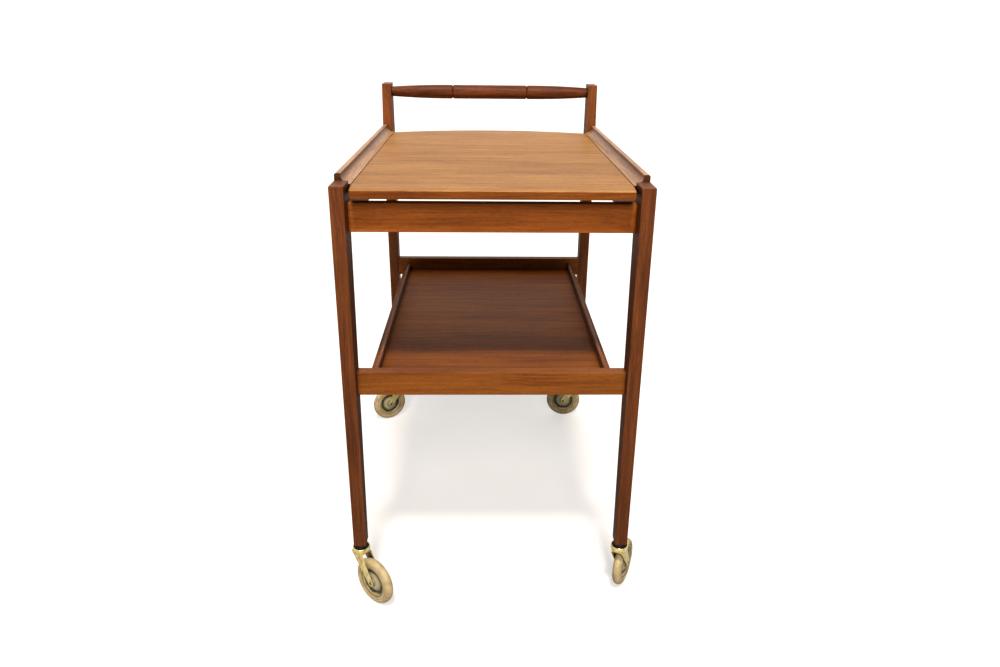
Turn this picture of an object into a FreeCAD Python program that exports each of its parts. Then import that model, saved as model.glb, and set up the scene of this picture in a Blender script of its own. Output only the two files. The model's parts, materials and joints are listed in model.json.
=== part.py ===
import FreeCAD, Part
import math
import os

# A two-tier teak serving cart on four swivel casters, in millimetres, Z up, floor at z = 0.
# X runs across the cart, Y along it towards the push handle. Every piece is drawn about the
# middle of the wooden frame. The casters are swivelled, so the cart's footprint reaches
# further one way than the other, and the pieces are written out about the footprint's middle.

# Overall sizes
overall_width = 430.0        # across the outer faces of the legs
overall_length = 642.0       # along the outer faces of the legs
front_leg_top = 662.5        # from the floor
back_leg_top = 750.0         # the back legs carry the handle

# Legs: flat boards whose inner edge tapers below the aprons
leg_width = 19.5             # across the cart
leg_depth = 44.0             # along the cart, from the aprons up
leg_toe_depth = 24.0         # along the cart, at the caster
leg_edge_radius = 1.3
leg_end_band = 1.0           # edges this near a leg's two ends are all rounded
back_leg_taper_start = 644.0
back_leg_outer_taper = 1.5   # what the outer face leans in by at the top
back_leg_inner_taper = 0.8   # what the inner face leans out by at the top

# Aprons under the tray
apron_bottom = 595.0
apron_height = 40.4
end_apron_thickness = 16.0   # the front and back aprons, flush with the legs' inner edges
side_apron_thickness = 17.0
side_apron_setback = 1.0     # in from the legs' outer faces
edge_radius = 1.0            # eased edges of rails, aprons and strips

# Lift-off tray
tray_rail_top = 672.0
tray_panel_top = 657.5
tray_panel_thickness = 12.0
tray_rail_width = 21.8
tray_rail_cove = 13.0        # radius of the hollow between the rail and the panel
tray_rail_outer_radius = 3.0
tray_rail_setback = 0.5      # in from the legs' outer faces
tray_front_setback = 2.0     # front edge, behind the front legs' outer faces
tray_front_taper = 3.5       # what each side narrows by between the front legs
tray_front_corner = 4.5
tray_back_setback = 9.0      # middle of the bowed back edge, inside the back legs' outer faces
tray_back_bow = 39.5         # how far the back edge curves back at its ends
tray_back_corner = 12.0
tray_edge_radius = 2.0
tray_seat_gap = 0.3          # the tray rests on the side aprons
tray_end_gap = 0.5           # between the tray rails and the legs
tongue_thickness = 5.0
tongue_length = 5.0

# Turned push handle
handle_height = 734.0        # axis, from the floor
handle_radius = 13.25
handle_end_radius = 9.25
handle_swell_length = 110.0  # from the leg to where the full radius is reached
handle_groove_offset = 74.0  # of each turned groove, from the middle
handle_groove_depth = 1.2
handle_groove_width = 2.6
handle_spigot_radius = 7.0
handle_spigot_length = 12.0

# Lower shelf
shelf_rail_bottom = 354.0
shelf_rail_height = 36.0
shelf_rail_thickness = 18.0
shelf_rail_inset = 1.0       # out from the legs' inner edges at the middle of the rail
shelf_panel_thickness = 11.0
shelf_panel_side_gap = 10.5  # from the legs' inner faces
shelf_panel_corner = 22.0
shelf_strip_inset = 10.0     # outer face of the strip, in from the panel's edge
shelf_strip_thickness = 4.8
shelf_strip_rise = 15.0      # above the panel
shelf_strip_seat = 3.0       # depth of its groove in the panel

# Fasteners and hidden joinery
dowel_radius = 4.0
dowel_in_leg = 11.0
dowel_in_apron = 25.0
dowel_margin = 8.4           # dowel centre to the apron's top or bottom edge
tenon_thickness = 8.0
tenon_height = 14.0
tenon_half_length = 20.0
screw_radius = 2.25
screw_head_radius = 4.4
screw_head_height = 3.0
screw_length = 50.0
plug_radius = 6.5
plug_length = 5.0
plug_proud = 0.8

# Casters
wheel_radius = 38.4
tyre_width = 14.0
tyre_depth = 14.0            # from the tread to the metal disc
tyre_shoulder = 5.0
tyre_lip = 0.8                # chamfer beside the disc's rim
disc_rim_width = 11.0
disc_valley_width = 5.0      # thickness of the dished disc beside its rim
disc_crown_width = 11.0      # thickness of the dished disc beside its hub
disc_rim_wall = 1.6
hub_radius = 6.5
axle_radius = 2.5
axle_proud = 0.7
axle_edge_radius = 0.56
trail = 28.8                 # from the swivel axis to the axle
fork_side_gap = 1.2          # between the tyre and each arm
fork_arm_thickness = 2.0
fork_arm_top_width = 19.0
fork_arm_end_radius = 4.6
fork_plate = 2.4
fork_cup_radius = 13.5
fork_cup_wall = 2.0
fork_cup_height = 9.5
fork_cup_foot_radius = 1.8    # outer edge round the cup's foot
fork_cup_rim_radius = 0.9     # both edges of the cup's rim
crown_clearance = 5.2        # between the top of the wheel and the fork
cap_radius = 10.5
cap_neck_radius = 8.6
cap_height = 11.6
cap_dome_inset = 0.57         # of the dome's middle point, in from the cap's side
cap_dome_rise = 4.176         # of the dome's middle point, above the cap's side
cap_gap = 0.6
stem_radius = 4.75
stem_length = 38.0           # inside the leg
stem_head_radius = 7.0
stem_head_height = 2.0
stem_head_edge_radius = 1.2
socket_radius = 6.5
socket_flange_radius = 9.0
socket_flange = 1.4
socket_bottom_gap = 2.0      # between the top of the stem and the end of the socket

# Each caster: side of the cart, end of the cart, and where its wheel trails, from +X
casters = {
    "front_left": (-1, -1, -41.3),
    "front_right": (1, -1, 63.3),
    "back_left": (-1, 1, -151.7),
    "back_right": (1, 1, 173.0),
}

# Clearances
glue_gap = 0.1               # dowels, tenons, tongues and other glued joints
running_gap = 0.08           # axle in hub, stem in socket
side_play = 0.3              # hub between the fork's arms

# Worked out from the sizes above
half_width = overall_width / 2
half_length = overall_length / 2
leg_inner_x = half_width - leg_width
leg_inner_y = half_length - leg_depth
leg_bottom = (2 * wheel_radius + crown_clearance + fork_plate + cap_gap + cap_height
              + socket_flange)
pivot_x = half_width - leg_width / 2
pivot_y = half_length - leg_toe_depth / 2
apron_top = apron_bottom + apron_height
end_apron_centre_y = leg_inner_y + end_apron_thickness / 2
side_apron_outer_x = half_width - side_apron_setback
side_apron_inner_x = side_apron_outer_x - side_apron_thickness
side_apron_centre_x = side_apron_outer_x - side_apron_thickness / 2
tray_rail_outer_x = half_width - tray_rail_setback
tray_half_width = tray_rail_outer_x - tray_rail_width
tray_panel_bottom = tray_panel_top - tray_panel_thickness
tray_rail_bottom = apron_top + tray_seat_gap
shelf_rail_top = shelf_rail_bottom + shelf_rail_height
shelf_rail_middle = shelf_rail_bottom + shelf_rail_height / 2
shelf_panel_bottom = shelf_rail_bottom
shelf_panel_top = shelf_panel_bottom + shelf_panel_thickness
shelf_half_width = leg_inner_x - shelf_panel_side_gap
handle_y = half_length - leg_depth / 2
disc_radius = wheel_radius - tyre_depth
hub_half_width = tyre_width / 2 + fork_side_gap - side_play
arm_inner = tyre_width / 2 + fork_side_gap
arm_outer = arm_inner + fork_arm_thickness
fork_bottom = 2 * wheel_radius + crown_clearance
cap_bottom = fork_bottom + fork_plate + cap_gap

X = FreeCAD.Vector(1, 0, 0)
Y = FreeCAD.Vector(0, 1, 0)
Z = FreeCAD.Vector(0, 0, 1)
ORIGIN = FreeCAD.Vector(0, 0, 0)


def block(x0, x1, y0, y1, z0, z1):
    """A box between two corners."""
    return Part.makeBox(x1 - x0, y1 - y0, z1 - z0, FreeCAD.Vector(x0, y0, z0))


def rod(radius, start, axis, length):
    """A round bar from a point along an axis."""
    return Part.makeCylinder(radius, length, FreeCAD.Vector(*start), axis)


def prism(points, sweep):
    """A solid from a closed outline of straight edges, swept by a vector."""
    corners = [FreeCAD.Vector(*point) for point in points]
    return Part.Face(Part.makePolygon(corners + corners[:1])).extrude(sweep)


def turned(edges, axis):
    """A solid turned about an axis through the origin from its half outline."""
    return Part.Face(Part.Wire(edges)).revolve(ORIGIN, axis, 360)


def lines(points):
    """The straight edges between points in turn."""
    corners = [FreeCAD.Vector(*point) for point in points]
    return [Part.LineSegment(a, b).toShape() for a, b in zip(corners, corners[1:])]


def arc_through(start, through, end):
    """The round edge from one point to another through a third."""
    corners = [FreeCAD.Vector(*point) for point in (start, through, end)]
    return Part.Arc(*corners).toShape()


def eased(shape, direction, radius):
    """The shape with its straight edges along a direction rounded."""
    chosen = []
    for edge in shape.Edges:
        run = edge.Vertexes[-1].Point - edge.Vertexes[0].Point
        if abs(run.normalize().dot(direction)) > 0.999:
            chosen.append(edge)
    return shape.makeFillet(radius, chosen)


def to_corner(shape, side, end):
    """A shape drawn in the +X, +Y quarter, mirrored to the quarter of a side and an end."""
    if side < 0:
        shape = shape.mirror(ORIGIN, X)
    if end < 0:
        shape = shape.mirror(ORIGIN, Y)
    return shape


# ---- Legs -------------------------------------------------------------------------------

def leg_edge_y(z):
    """Where a leg's tapered inner edge stands at a height under the aprons."""
    share = (apron_bottom - z) / (apron_bottom - leg_bottom)
    return leg_inner_y + share * (leg_depth - leg_toe_depth)


def leg_board(top):
    """The leg's board, straight beside the aprons and tapered below them."""
    outline = [
        (leg_inner_x, half_length, leg_bottom),
        (leg_inner_x, half_length, top),
        (leg_inner_x, leg_inner_y, top),
        (leg_inner_x, leg_inner_y, apron_bottom),
        (leg_inner_x, half_length - leg_toe_depth, leg_bottom),
    ]
    return prism(outline, X * leg_width)


def round_leg(board):
    """The board with every edge rounded but those where a face only bends."""
    chosen = []
    for edge in board.Edges:
        middle = edge.CenterOfMass
        along_x = abs(edge.Vertexes[-1].Point.x - edge.Vertexes[0].Point.x) > leg_width / 2
        along_y = abs(edge.Vertexes[-1].Point.y - edge.Vertexes[0].Point.y) > leg_toe_depth / 2
        inside = leg_bottom + leg_end_band < middle.z < front_leg_top - leg_end_band
        if not (inside and (along_x or along_y)):
            chosen.append(edge)
    return board.makeFillet(leg_edge_radius, chosen)


def front_leg():
    return round_leg(leg_board(front_leg_top))


def back_leg():
    """A back leg, thinned a little above the tray towards its top."""
    outline = [
        (leg_inner_x, 0, leg_bottom),
        (leg_inner_x, 0, back_leg_taper_start),
        (leg_inner_x + back_leg_inner_taper, 0, back_leg_top),
        (half_width - back_leg_outer_taper, 0, back_leg_top),
        (half_width, 0, back_leg_taper_start),
        (half_width, 0, leg_bottom),
    ]
    return round_leg(leg_board(back_leg_top).common(prism(outline, Y * half_length)))


def dowel_heights():
    return (apron_bottom + dowel_margin, apron_top - dowel_margin)


def leg_holes():
    """What is drilled and cut into every leg: dowels, tenon, screw, plug and caster socket."""
    screw_start = (leg_inner_x, shelf_screw_y(), shelf_rail_middle)
    plug_depth = plug_length + screw_head_height
    plug_start = (half_width - plug_depth, shelf_screw_y(), shelf_rail_middle)
    socket_depth = stem_length + socket_bottom_gap + glue_gap
    cuts = [
        side_tenon(glue_gap),
        rod(screw_radius + glue_gap, screw_start, X, leg_width),
        rod(plug_radius + glue_gap, plug_start, X, plug_depth),
        rod(socket_radius + glue_gap, (pivot_x, pivot_y, leg_bottom), Z, socket_depth),
    ]
    for z in dowel_heights():
        start = (leg_inner_x, end_apron_centre_y, z)
        cuts.append(rod(dowel_radius + glue_gap, start, X, dowel_in_leg + glue_gap))
    return cuts


def handle_hole():
    """The blind hole in a back leg that takes the handle's spigot."""
    end = leg_face_at_handle() + handle_spigot_length
    start = leg_inner_x
    return rod(handle_spigot_radius + glue_gap, (start, handle_y, handle_height), X, end - start)


def leg_face_at_handle():
    """Where a back leg's inner face stands at the handle's height."""
    share = (handle_height - back_leg_taper_start) / (back_leg_top - back_leg_taper_start)
    return leg_inner_x + share * back_leg_inner_taper


# ---- Aprons and their joinery -----------------------------------------------------------

def end_apron():
    """The apron between the two legs of one end, drilled for its dowels."""
    bar = block(-leg_inner_x, leg_inner_x, leg_inner_y, leg_inner_y + end_apron_thickness,
                apron_bottom, apron_top)
    bar = eased(bar, X, edge_radius)
    depth = dowel_in_apron + glue_gap
    for z in dowel_heights():
        for start in (-leg_inner_x, leg_inner_x - depth):
            hole = rod(dowel_radius + glue_gap, (start, end_apron_centre_y, z), X, depth)
            bar = bar.cut(hole)
    return bar


def side_apron():
    """The apron between the front and back legs of the +X side."""
    bar = block(side_apron_inner_x, side_apron_outer_x, -leg_inner_y, leg_inner_y,
                apron_bottom, apron_top)
    bar = eased(bar, Y, edge_radius)
    for end in (-1, 1):
        bar = bar.cut(to_corner(side_tenon(glue_gap), 1, end))
    return bar


def side_tenon(grow):
    """The loose tenon across the joint of a side apron and a back leg."""
    half_height = tenon_height / 2 + grow
    radius = tenon_thickness / 2 + grow
    reach = tenon_half_length + grow
    middle = (apron_bottom + apron_top) / 2
    straight = half_height - radius
    core = block(side_apron_centre_x - radius, side_apron_centre_x + radius,
                 leg_inner_y - reach, leg_inner_y + reach, middle - straight, middle + straight)
    for z in (middle - straight, middle + straight):
        core = core.fuse(rod(radius, (side_apron_centre_x, leg_inner_y - reach, z), Y, 2 * reach))
    return core.removeSplitter()


def apron_dowels():
    """The dowels of both end aprons, as one group of separate solids."""
    length = dowel_in_leg + dowel_in_apron
    start = leg_inner_x - dowel_in_apron
    dowels = []
    for z in dowel_heights():
        pin = rod(dowel_radius, (start, end_apron_centre_y, z), X, length)
        for side in (-1, 1):
            for end in (-1, 1):
                dowels.append(to_corner(pin, side, end))
    return Part.makeCompound(dowels)


def apron_tenons():
    tenon = side_tenon(0)
    return Part.makeCompound([to_corner(tenon, side, end) for side in (-1, 1) for end in (-1, 1)])


# ---- Turned handle ----------------------------------------------------------------------

def handle():
    """The handle about the X axis: a long swell, two grooves and a spigot at each end."""
    shoulder = leg_face_at_handle() - glue_gap
    full = shoulder - handle_swell_length
    groove_in = handle_groove_offset - handle_groove_width / 2
    groove_out = handle_groove_offset + handle_groove_width / 2
    groove_foot = handle_radius - handle_groove_depth
    spigot_end = shoulder + handle_spigot_length
    drop = handle_radius - handle_end_radius
    swell = (handle_swell_length ** 2 + drop ** 2) / (2 * drop)
    half_angle = math.asin(handle_swell_length / swell) / 2
    swell_middle = (full + swell * math.sin(half_angle),
                    handle_radius - swell * (1 - math.cos(half_angle)), 0)
    edges = lines([(0, 0, 0), (0, handle_radius, 0), (groove_in, handle_radius, 0),
                   (handle_groove_offset, groove_foot, 0), (groove_out, handle_radius, 0),
                   (full, handle_radius, 0)])
    edges.append(arc_through((full, handle_radius, 0), swell_middle,
                             (shoulder, handle_end_radius, 0)))
    edges += lines([(shoulder, handle_end_radius, 0), (shoulder, handle_spigot_radius, 0),
                    (spigot_end, handle_spigot_radius, 0), (spigot_end, 0, 0), (0, 0, 0)])
    half = turned(edges, X)
    whole = half.fuse(half.mirror(ORIGIN, X)).removeSplitter()
    return whole.translated(FreeCAD.Vector(0, handle_y, handle_height))


# ---- Lift-off tray ----------------------------------------------------------------------

def tray_panel():
    """The tray's panel: straight front edge between the front legs, bowed back edge."""
    front = -(half_length - tray_front_setback)
    back_middle = half_length - tray_back_setback
    back_side = back_middle - tray_back_bow
    narrow = -leg_inner_y
    front_half = tray_half_width - tray_front_taper
    bottom = tray_panel_bottom
    straight = lines([(-tray_half_width, back_side, bottom), (-tray_half_width, narrow, bottom),
                      (-front_half, front, bottom), (front_half, front, bottom),
                      (tray_half_width, narrow, bottom), (tray_half_width, back_side, bottom)])
    bow = arc_through((tray_half_width, back_side, bottom), (0, back_middle, bottom),
                      (-tray_half_width, back_side, bottom))
    panel = Part.Face(Part.Wire(straight + [bow])).extrude(Z * tray_panel_thickness)
    for y, radius in ((front, tray_front_corner), (back_side, tray_back_corner)):
        upright = [edge for edge in panel.Edges
                   if abs(edge.CenterOfMass.y - y) < 0.1
                   and abs(edge.CenterOfMass.x) > front_half - 0.1
                   and abs(edge.Length - tray_panel_thickness) < 0.01]
        panel = panel.makeFillet(radius, upright)
    rims = [edge for edge in panel.Edges if edge.BoundBox.ZLength < 0.01]
    panel = panel.makeFillet(tray_edge_radius, rims)
    tongue = tray_tongue(0)
    return panel.fuse(tongue).fuse(tongue.mirror(ORIGIN, X)).removeSplitter()


def tray_tongue(grow):
    """The tongue along the panel's +X side, which the rail's groove takes."""
    middle = (tray_panel_top + tray_panel_bottom) / 2
    half = tongue_thickness / 2 + grow
    run = leg_inner_y - leg_depth
    return block(tray_half_width - tongue_length, tray_half_width + tongue_length + grow,
                 -run - grow, run + grow, middle - half, middle + half)


def tray_rail():
    """The +X side rail: coved inside, rounded on top, rebated over the side apron."""
    y0 = tray_end_gap - leg_inner_y
    y1 = leg_inner_y - tray_end_gap
    foot_x = tray_half_width + glue_gap
    cove_top = tray_panel_top + tray_rail_cove
    cove_x = foot_x + tray_rail_cove
    lip = tray_rail_top - cove_top
    shoulder = tray_rail_outer_x - tray_rail_outer_radius
    diagonal = math.sqrt(0.5)
    edges = lines([(foot_x, y0, tray_panel_top), (foot_x, y0, tray_panel_bottom),
                   (side_apron_inner_x, y0, tray_panel_bottom),
                   (side_apron_inner_x, y0, tray_rail_bottom),
                   (tray_rail_outer_x, y0, tray_rail_bottom),
                   (tray_rail_outer_x, y0, tray_rail_top - tray_rail_outer_radius)])
    edges.append(arc_through(
        (tray_rail_outer_x, y0, tray_rail_top - tray_rail_outer_radius),
        (shoulder + tray_rail_outer_radius * diagonal, y0,
         tray_rail_top - tray_rail_outer_radius * (1 - diagonal)),
        (shoulder, y0, tray_rail_top)))
    edges += lines([(shoulder, y0, tray_rail_top), (cove_x + lip, y0, tray_rail_top)])
    edges.append(arc_through(
        (cove_x + lip, y0, tray_rail_top),
        (cove_x + lip * (1 - diagonal), y0, tray_rail_top - lip * (1 - diagonal)),
        (cove_x, y0, cove_top)))
    edges.append(arc_through(
        (cove_x, y0, cove_top),
        (foot_x + tray_rail_cove * diagonal, y0, cove_top - tray_rail_cove * diagonal),
        (foot_x, y0, tray_panel_top)))
    rail = Part.Face(Part.Wire(edges)).extrude(Y * (y1 - y0))
    return rail.cut(tray_tongue(glue_gap))


# ---- Lower shelf ------------------------------------------------------------------------

def shelf_rail_inner_y():
    return leg_edge_y(shelf_rail_middle) + shelf_rail_inset


def shelf_screw_y():
    return shelf_rail_inner_y() + shelf_rail_thickness / 2


def shelf_rail():
    """The rail between two legs of one end, grooved for the panel and bored for its screws."""
    inner = shelf_rail_inner_y()
    bar = block(-leg_inner_x, leg_inner_x, inner, inner + shelf_rail_thickness,
                shelf_rail_bottom, shelf_rail_top)
    bar = eased(bar, X, edge_radius)
    bar = bar.cut(shelf_tongue(glue_gap))
    pilot = screw_length + glue_gap - leg_width + plug_length
    for start in (-leg_inner_x, leg_inner_x - pilot):
        bar = bar.cut(rod(screw_radius + glue_gap, (start, shelf_screw_y(), shelf_rail_middle),
                          X, pilot))
    return bar


def shelf_tongue(grow):
    """The tongue on the panel's back edge, which the rail's groove takes."""
    middle = (shelf_panel_top + shelf_panel_bottom) / 2
    half = tongue_thickness / 2 + grow
    reach = shelf_half_width - shelf_panel_corner + grow
    inner = shelf_rail_inner_y()
    return block(-reach, reach, inner - tongue_length, inner + tongue_length + grow,
                 middle - half, middle + half)


def shelf_panel():
    """The shelf's panel, with rounded corners and a groove under each side strip."""
    end = shelf_rail_inner_y() - glue_gap
    panel = block(-shelf_half_width, shelf_half_width, -end, end,
                  shelf_panel_bottom, shelf_panel_top)
    panel = eased(panel, Z, shelf_panel_corner)
    rims = [edge for edge in panel.Edges
            if edge.BoundBox.ZLength < 0.01
            and (abs(edge.CenterOfMass.y) < end - 0.1)]
    panel = panel.makeFillet(edge_radius, rims)
    tongue = shelf_tongue(0)
    panel = panel.fuse(tongue).fuse(tongue.mirror(ORIGIN, Y)).removeSplitter()
    groove = shelf_strip_blank(glue_gap)
    return panel.cut(groove).cut(groove.mirror(ORIGIN, X))


def shelf_strip_blank(grow):
    outer = shelf_half_width - shelf_strip_inset
    end = shelf_rail_inner_y() - glue_gap
    return block(outer - shelf_strip_thickness - grow, outer + grow, -end, end,
                 shelf_panel_top - shelf_strip_seat - grow, shelf_panel_top + shelf_strip_rise)


def shelf_strip():
    """The upright strip that stands along the +X side of the shelf."""
    strip = shelf_strip_blank(0)
    top = [edge for edge in strip.Edges
           if edge.BoundBox.YLength > leg_depth
           and edge.CenterOfMass.z > shelf_panel_top]
    return strip.makeFillet(edge_radius, top)


def shelf_screws():
    """The screws through the legs into the shelf's rails."""
    head_x = half_width - plug_length
    y = shelf_screw_y()
    z = shelf_rail_middle
    head = Part.makeCone(screw_head_radius, screw_radius, screw_head_height,
                         FreeCAD.Vector(head_x, y, z), X * -1)
    shank = rod(screw_radius, (head_x, y, z), X * -1, screw_length - 2 * screw_radius)
    point = Part.makeCone(screw_radius, 0, 2 * screw_radius,
                          FreeCAD.Vector(head_x - screw_length + 2 * screw_radius, y, z), X * -1)
    screw = head.fuse(shank).fuse(point).removeSplitter()
    return Part.makeCompound([to_corner(screw, side, end) for side in (-1, 1) for end in (-1, 1)])


def leg_plugs():
    """The domed plugs over the screws."""
    base = half_width - plug_length + glue_gap
    body = rod(plug_radius, (base, shelf_screw_y(), shelf_rail_middle), X,
               plug_length - glue_gap)
    dome_radius = (plug_radius ** 2 + plug_proud ** 2) / (2 * plug_proud)
    dome = Part.makeSphere(dome_radius, FreeCAD.Vector(half_width + plug_proud - dome_radius,
                                                       shelf_screw_y(), shelf_rail_middle))
    cover = rod(plug_radius, (half_width, shelf_screw_y(), shelf_rail_middle), X, plug_proud)
    plug = body.fuse(cover.common(dome)).removeSplitter()
    return Part.makeCompound([to_corner(plug, side, end) for side in (-1, 1) for end in (-1, 1)])


# ---- Casters ----------------------------------------------------------------------------
# Each is drawn with its swivel axis on Z and its wheel trailing along +X.

def socket():
    """The metal sleeve in the leg, with the flange that covers the leg's end grain."""
    top = leg_bottom + stem_length + socket_bottom_gap
    bottom = leg_bottom - socket_flange
    sleeve = rod(socket_radius, (0, 0, leg_bottom), Z, top - leg_bottom)
    flange = rod(socket_flange_radius, (0, 0, bottom), Z, socket_flange)
    bore = rod(stem_radius + running_gap, (0, 0, bottom), Z, top - bottom)
    return sleeve.fuse(flange).cut(bore).removeSplitter()


def bearing_cap():
    """The dark domed cap that covers the swivel bearing, pressed on under the flange."""
    top = cap_bottom + cap_height
    bore = stem_radius + running_gap
    shoulder = cap_bottom + cap_height / 2
    edges = lines([(bore, 0, cap_bottom), (cap_radius, 0, cap_bottom), (cap_radius, 0, shoulder)])
    edges.append(arc_through((cap_radius, 0, shoulder),
                             (cap_radius - cap_dome_inset, 0, shoulder + cap_dome_rise),
                             (cap_neck_radius, 0, top)))
    edges += lines([(cap_neck_radius, 0, top), (bore, 0, top), (bore, 0, cap_bottom)])
    return turned(edges, Z)


def stem():
    """The pin that turns in the socket, riveted under the fork."""
    bottom = fork_bottom - stem_head_height
    head = rod(stem_head_radius, (0, 0, bottom), Z, stem_head_height)
    head = head.makeFillet(stem_head_edge_radius, [head.Edges[2]])
    shank_top = leg_bottom + stem_length
    shank = rod(stem_radius, (0, 0, fork_bottom), Z, shank_top - fork_bottom)
    return head.fuse(shank).removeSplitter()


def fork_arm():
    """One arm of the fork, a strap that tapers from the crown to the axle."""
    axle_z = wheel_radius
    top = fork_bottom + fork_plate
    half_top = fork_arm_top_width / 2
    lean = math.atan2(trail, top - axle_z)
    across_x = fork_arm_end_radius * math.cos(lean)
    across_z = fork_arm_end_radius * math.sin(lean)
    outline = [(-half_top, arm_inner, top), (half_top, arm_inner, top),
               (trail + across_x, arm_inner, axle_z + across_z),
               (trail - across_x, arm_inner, axle_z - across_z)]
    strap = prism(outline, Y * fork_arm_thickness)
    end = rod(fork_arm_end_radius, (trail, arm_inner, axle_z), Y, fork_arm_thickness)
    return strap.fuse(end).removeSplitter()


def fork():
    """The stamped brass fork: a cup round the bearing, a bridge and two arms."""
    top = fork_bottom + fork_cup_height
    inner = fork_cup_radius - fork_cup_wall
    floor = fork_bottom + fork_plate
    cup = rod(fork_cup_radius, (0, 0, fork_bottom), Z, fork_cup_height)
    foot = [edge for edge in cup.Edges if edge.BoundBox.ZMax < fork_bottom + 0.01]
    cup = cup.makeFillet(fork_cup_foot_radius, foot)
    cup = cup.cut(rod(inner, (0, 0, floor), Z, fork_cup_height))
    rim = [edge for edge in cup.Edges if edge.BoundBox.ZMin > top - 0.01]
    cup = cup.makeFillet(fork_cup_rim_radius, rim)
    bridge = block(-fork_arm_top_width / 2, fork_arm_top_width / 2, -arm_outer, arm_outer,
                   fork_bottom, floor)
    arm = fork_arm()
    body = cup.fuse(bridge).fuse(arm).fuse(arm.mirror(ORIGIN, Y)).removeSplitter()
    body = body.cut(rod(stem_radius + glue_gap / 2, (0, 0, fork_bottom), Z, fork_cup_height))
    axle_hole = rod(axle_radius + glue_gap / 2, (trail, -arm_outer, wheel_radius), Y, 2 * arm_outer)
    return body.cut(axle_hole)


def axle():
    """The riveted pin through both arms and the hub."""
    half = arm_outer + axle_proud
    pin = rod(axle_radius, (trail, -half, wheel_radius), Y, 2 * half)
    return pin.makeFillet(axle_edge_radius, [pin.Edges[0], pin.Edges[2]])


def wheel_disc():
    """The dished metal disc with its hub, about the Y axis."""
    rim = disc_rim_width / 2
    valley = disc_valley_width / 2
    crown = disc_crown_width / 2
    bore = axle_radius + running_gap
    side = [(disc_radius - disc_rim_wall, rim), (disc_radius - 2 * disc_rim_wall, valley),
            (hub_radius + 2 * disc_rim_wall, crown), (hub_radius, crown), (hub_radius, hub_half_width),
            (bore, hub_half_width)]
    outline = [(disc_radius, rim)] + side
    mirrored = [(radius, -width) for radius, width in reversed(outline)]
    points = [(radius, width, 0) for radius, width in outline + mirrored + outline[:1]]
    disc = turned(lines(points), Y)
    return disc.translated(FreeCAD.Vector(trail, 0, wheel_radius))


def tyre():
    """The solid rubber tyre, rounded across its tread and flat on its seat."""
    half = tyre_width / 2
    seat = disc_radius + glue_gap / 2
    shoulder_radius = wheel_radius - tyre_shoulder
    edges = lines([(seat, -half + tyre_lip, 0), (seat, half - tyre_lip, 0)])
    edges += lines([(seat, half - tyre_lip, 0), (seat + tyre_lip, half, 0), (shoulder_radius, half, 0)])
    edges.append(arc_through((shoulder_radius, half, 0), (wheel_radius, 0, 0),
                             (shoulder_radius, -half, 0)))
    edges += lines([(shoulder_radius, -half, 0), (seat + tyre_lip, -half, 0), (seat, -half + tyre_lip, 0)])
    return turned(edges, Y).translated(FreeCAD.Vector(trail, 0, wheel_radius))


# ---- Putting the cart together ----------------------------------------------------------

def footprint_middle():
    """The middle of the box round the legs and the swivelled wheels, seen from above."""
    xs = [-half_width, half_width]
    ys = [-half_length, half_length]
    for side, end, swivel in casters.values():
        angle = math.radians(swivel)
        reach_x = wheel_radius * abs(math.cos(angle)) + tyre_width / 2 * abs(math.sin(angle))
        reach_y = wheel_radius * abs(math.sin(angle)) + tyre_width / 2 * abs(math.cos(angle))
        wheel_x = side * pivot_x + trail * math.cos(angle)
        wheel_y = end * pivot_y + trail * math.sin(angle)
        xs += [wheel_x - reach_x, wheel_x + reach_x]
        ys += [wheel_y - reach_y, wheel_y + reach_y]
    return FreeCAD.Vector((min(xs) + max(xs)) / 2, (min(ys) + max(ys)) / 2, 0)


def build_nodes():
    nodes = {}
    for name, (side, end, _) in casters.items():
        board = front_leg() if end < 0 else back_leg()
        for hole in leg_holes():
            board = board.cut(hole)
        if end > 0:
            board = board.cut(handle_hole())
        nodes["leg_" + name] = to_corner(board, side, end)
    apron = end_apron()
    nodes["apron_back"] = apron
    nodes["apron_front"] = apron.mirror(ORIGIN, Y)
    nodes["apron_right"] = side_apron()
    nodes["apron_left"] = side_apron().mirror(ORIGIN, X)
    nodes["apron_dowels"] = apron_dowels()
    nodes["apron_tenons"] = apron_tenons()
    nodes["handle"] = handle()
    nodes["tray_panel"] = tray_panel()
    nodes["tray_rail_right"] = tray_rail()
    nodes["tray_rail_left"] = tray_rail().mirror(ORIGIN, X)
    nodes["shelf_rail_back"] = shelf_rail()
    nodes["shelf_rail_front"] = shelf_rail().mirror(ORIGIN, Y)
    nodes["shelf_panel"] = shelf_panel()
    nodes["shelf_strip_right"] = shelf_strip()
    nodes["shelf_strip_left"] = shelf_strip().mirror(ORIGIN, X)
    nodes["shelf_screws"] = shelf_screws()
    nodes["leg_plugs"] = leg_plugs()
    caster_pieces = {
        "caster_socket": socket(),
        "bearing_cap": bearing_cap(),
        "caster_stem": stem(),
        "fork": fork(),
        "axle": axle(),
        "wheel_disc": wheel_disc(),
        "tyre": tyre(),
    }
    for name, (side, end, swivel) in casters.items():
        for piece, shape in caster_pieces.items():
            placed = shape.rotated(ORIGIN, Z, swivel)
            nodes[piece + "_" + name] = placed.translated(
                FreeCAD.Vector(side * pivot_x, end * pivot_y, 0))
    return nodes


os.makedirs("parts", exist_ok=True)
middle = footprint_middle()
for node, shape in build_nodes().items():
    shape.translated(middle * -1).exportStep(f"parts/{node}.step")
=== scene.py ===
import json
import math

import bmesh
import bpy
from mathutils import Matrix, Vector


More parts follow.
